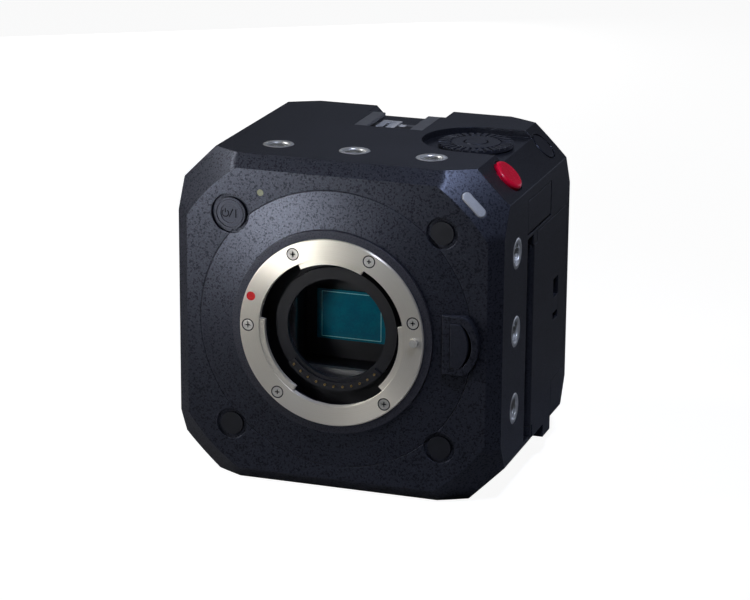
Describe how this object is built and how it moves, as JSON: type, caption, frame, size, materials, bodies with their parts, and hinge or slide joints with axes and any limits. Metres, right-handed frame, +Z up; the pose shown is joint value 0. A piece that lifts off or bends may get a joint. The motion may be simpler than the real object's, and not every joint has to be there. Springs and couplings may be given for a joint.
{
  "type": "box cinema camera",
  "caption": "Box-shaped cinema camera body with an open bayonet lens mount, top dial and shoe, threaded rows on its sides, card and port doors, rear sockets and a battery bay.",
  "frame": {"origin": "bottom centre of the body's bounding box, under the lens axis", "axes": "+Z up, -Y forward out of the lens mount, +X to the right as seen from the front"},
  "size_m": [0.093, 0.079, 0.093],
  "materials": {
    "crinkle_paint": "fine dark crinkle paint with black specks",
    "matte_paint": "fine matte dark paint",
    "collar_black": "satin black cast collar",
    "mount_metal": "turned champagne metal",
    "screw_metal": "bright steel",
    "black_screws": "blackened steel",
    "index_red": "red enamel",
    "baffle_black": "flocked matte black",
    "contact_gold": "gold plated",
    "sensor_glass": "coated optical glass",
    "sensor_die": "dark iridescent silicon",
    "circuit_board": "green lacquered laminate",
    "bare_aluminium": "milled aluminium",
    "black_plastic": "moulded black plastic",
    "button_black": "satin black plastic",
    "record_red": "satin red plastic",
    "plug_rubber": "black rubber",
    "lamp_grey": "frosted light grey lens",
    "insert_steel": "bright turned and pressed steel",
    "shoe_contact": "black plate with plated pads",
    "card_plastic": "dark grey plastic",
    "socket_metal": "nickel plated"
  },
  "bodies": {
    "camera_body": {"front_cover": "crinkle_paint", "mount_bezel": "crinkle_paint", "release_boss": "crinkle_paint", "main_casing": "matte_paint", "rear_cover": "matte_paint", "mount_base": "collar_black", "mount_ring": "mount_metal", "mount_ring_screws": "screw_metal", "card_door_pin": "screw_metal", "mount_leaf_springs": "screw_metal", "front_cover_screws": "screw_metal", "rear_cover_screws": "black_screws", "mount_index_dot": "index_red", "throat_baffle": "baffle_black", "contact_block": "baffle_black", "sensor_chamber": "baffle_black", "sensor_frame": "baffle_black", "lens_contacts": "contact_gold", "battery_terminals": "contact_gold", "sensor_cover_glass": "sensor_glass", "image_sensor": "sensor_die", "sensor_board": "circuit_board", "main_board": "circuit_board", "button_boards": "circuit_board", "heat_sink": "bare_aluminium", "front_frame": "bare_aluminium", "board_spacers": "bare_aluminium", "fan_housing": "black_plastic", "dial_encoder": "black_plastic", "card_slots": "black_plastic", "front_screw_plugs": "plug_rubber", "switch_domes": "plug_rubber", "tally_lamp": "lamp_grey", "power_led": "lamp_grey", "thread_inserts": "insert_steel", "hot_shoe": "insert_steel", "hot_shoe_contacts": "shoe_contact", "bnc_jacks": "socket_metal", "network_socket": "socket_metal", "rear_sockets": "socket_metal", "audio_sockets": "socket_metal"},
    "dial": {"control_dial": "button_black", "dial_clip": "screw_metal"},
    "menu_key": {"menu_button": "button_black"},
    "record_key": {"rec_button": "record_red"},
    "cancel_key": {"cancel_button": "button_black"},
    "function_key": {"function_button": "button_black"},
    "quick_menu_key": {"quick_menu_button": "button_black"},
    "playback_key": {"playback_button": "button_black"},
    "power_key": {"power_button": "button_black"},
    "lens_release": {"lens_release_button": "button_black", "release_lever": "screw_metal", "lens_lock_pin": "screw_metal"},
    "side_port_door": {"port_door": "matte_paint"},
    "card_slot_door": {"card_door": "matte_paint"},
    "card_slot_lock": {"card_door_lock": "button_black"},
    "card_one": {"memory_card_1": "card_plastic"},
    "card_two": {"memory_card_2": "card_plastic"},
    "fan_wheel": {"fan_rotor": "black_plastic"},
    "battery_catch": {"battery_latch": "button_black"}
  },
  "joints": [
    {"name": "dial_turn", "type": "hinge", "parent": "camera_body", "child": "dial", "pos_m": [0.0274, 0.0039, 0.0915], "axis": [0, 0, 1], "continuous": true},
    {"name": "menu_press", "type": "slide", "parent": "camera_body", "child": "menu_key", "axis": [0, 0, -1], "range_m": [0, 0.0006], "stiffness_N_per_m": 1500},
    {"name": "record_press", "type": "slide", "parent": "camera_body", "child": "record_key", "axis": [-0.7071, 0, -0.7071], "range_m": [0, 0.0008], "stiffness_N_per_m": 1500},
    {"name": "cancel_press", "type": "slide", "parent": "camera_body", "child": "cancel_key", "axis": [-0.7071, 0, -0.7071], "range_m": [0, 0.0008], "stiffness_N_per_m": 1500},
    {"name": "function_press", "type": "slide", "parent": "camera_body", "child": "function_key", "axis": [0.7071, 0, -0.7071], "range_m": [0, 0.0008], "stiffness_N_per_m": 1500},
    {"name": "quick_menu_press", "type": "slide", "parent": "camera_body", "child": "quick_menu_key", "axis": [0.7071, 0, -0.7071], "range_m": [0, 0.0008], "stiffness_N_per_m": 1500},
    {"name": "playback_press", "type": "slide", "parent": "camera_body", "child": "playback_key", "axis": [0.7071, 0, -0.7071], "range_m": [0, 0.0008], "stiffness_N_per_m": 1500},
    {"name": "power_press", "type": "slide", "parent": "camera_body", "child": "power_key", "axis": [0, 1, 0], "range_m": [0, 0.0005], "stiffness_N_per_m": 2000},
    {"name": "lens_release_press", "type": "slide", "parent": "camera_body", "child": "lens_release", "axis": [0, 1, 0], "range_m": [0, 0.0015], "stiffness_N_per_m": 1500},
    {"name": "port_door_hinge", "type": "hinge", "parent": "camera_body", "child": "side_port_door", "pos_m": [0.0457, 0.0022, 0.0716], "axis": [0, 1, 0], "range_deg": [0, 95]},
    {"name": "card_door_hinge", "type": "hinge", "parent": "camera_body", "child": "card_slot_door", "pos_m": [0.04525, -0.0019, 0.0395], "axis": [0, 0, -1], "range_deg": [0, 110]},
    {"name": "card_lock_slide", "type": "slide", "parent": "card_slot_door", "child": "card_slot_lock", "axis": [0, 0, 1], "range_m": [0, 0.0048]},
    {"name": "card_one_push", "type": "slide", "parent": "camera_body", "child": "card_one", "axis": [-1, 0, 0], "range_m": [0, 0.001], "stiffness_N_per_m": 1500},
    {"name": "card_two_push", "type": "slide", "parent": "camera_body", "child": "card_two", "axis": [-1, 0, 0], "range_m": [0, 0.001], "stiffness_N_per_m": 1500},
    {"name": "fan_spin", "type": "hinge", "parent": "camera_body", "child": "fan_wheel", "pos_m": [-0.0408, 0.0105, 0.0465], "axis": [1, 0, 0], "continuous": true},
    {"name": "battery_latch_slide", "type": "slide", "parent": "camera_body", "child": "battery_catch", "axis": [0, 0, -1], "range_m": [0, 0.003], "stiffness_N_per_m": 600}
  ]
}
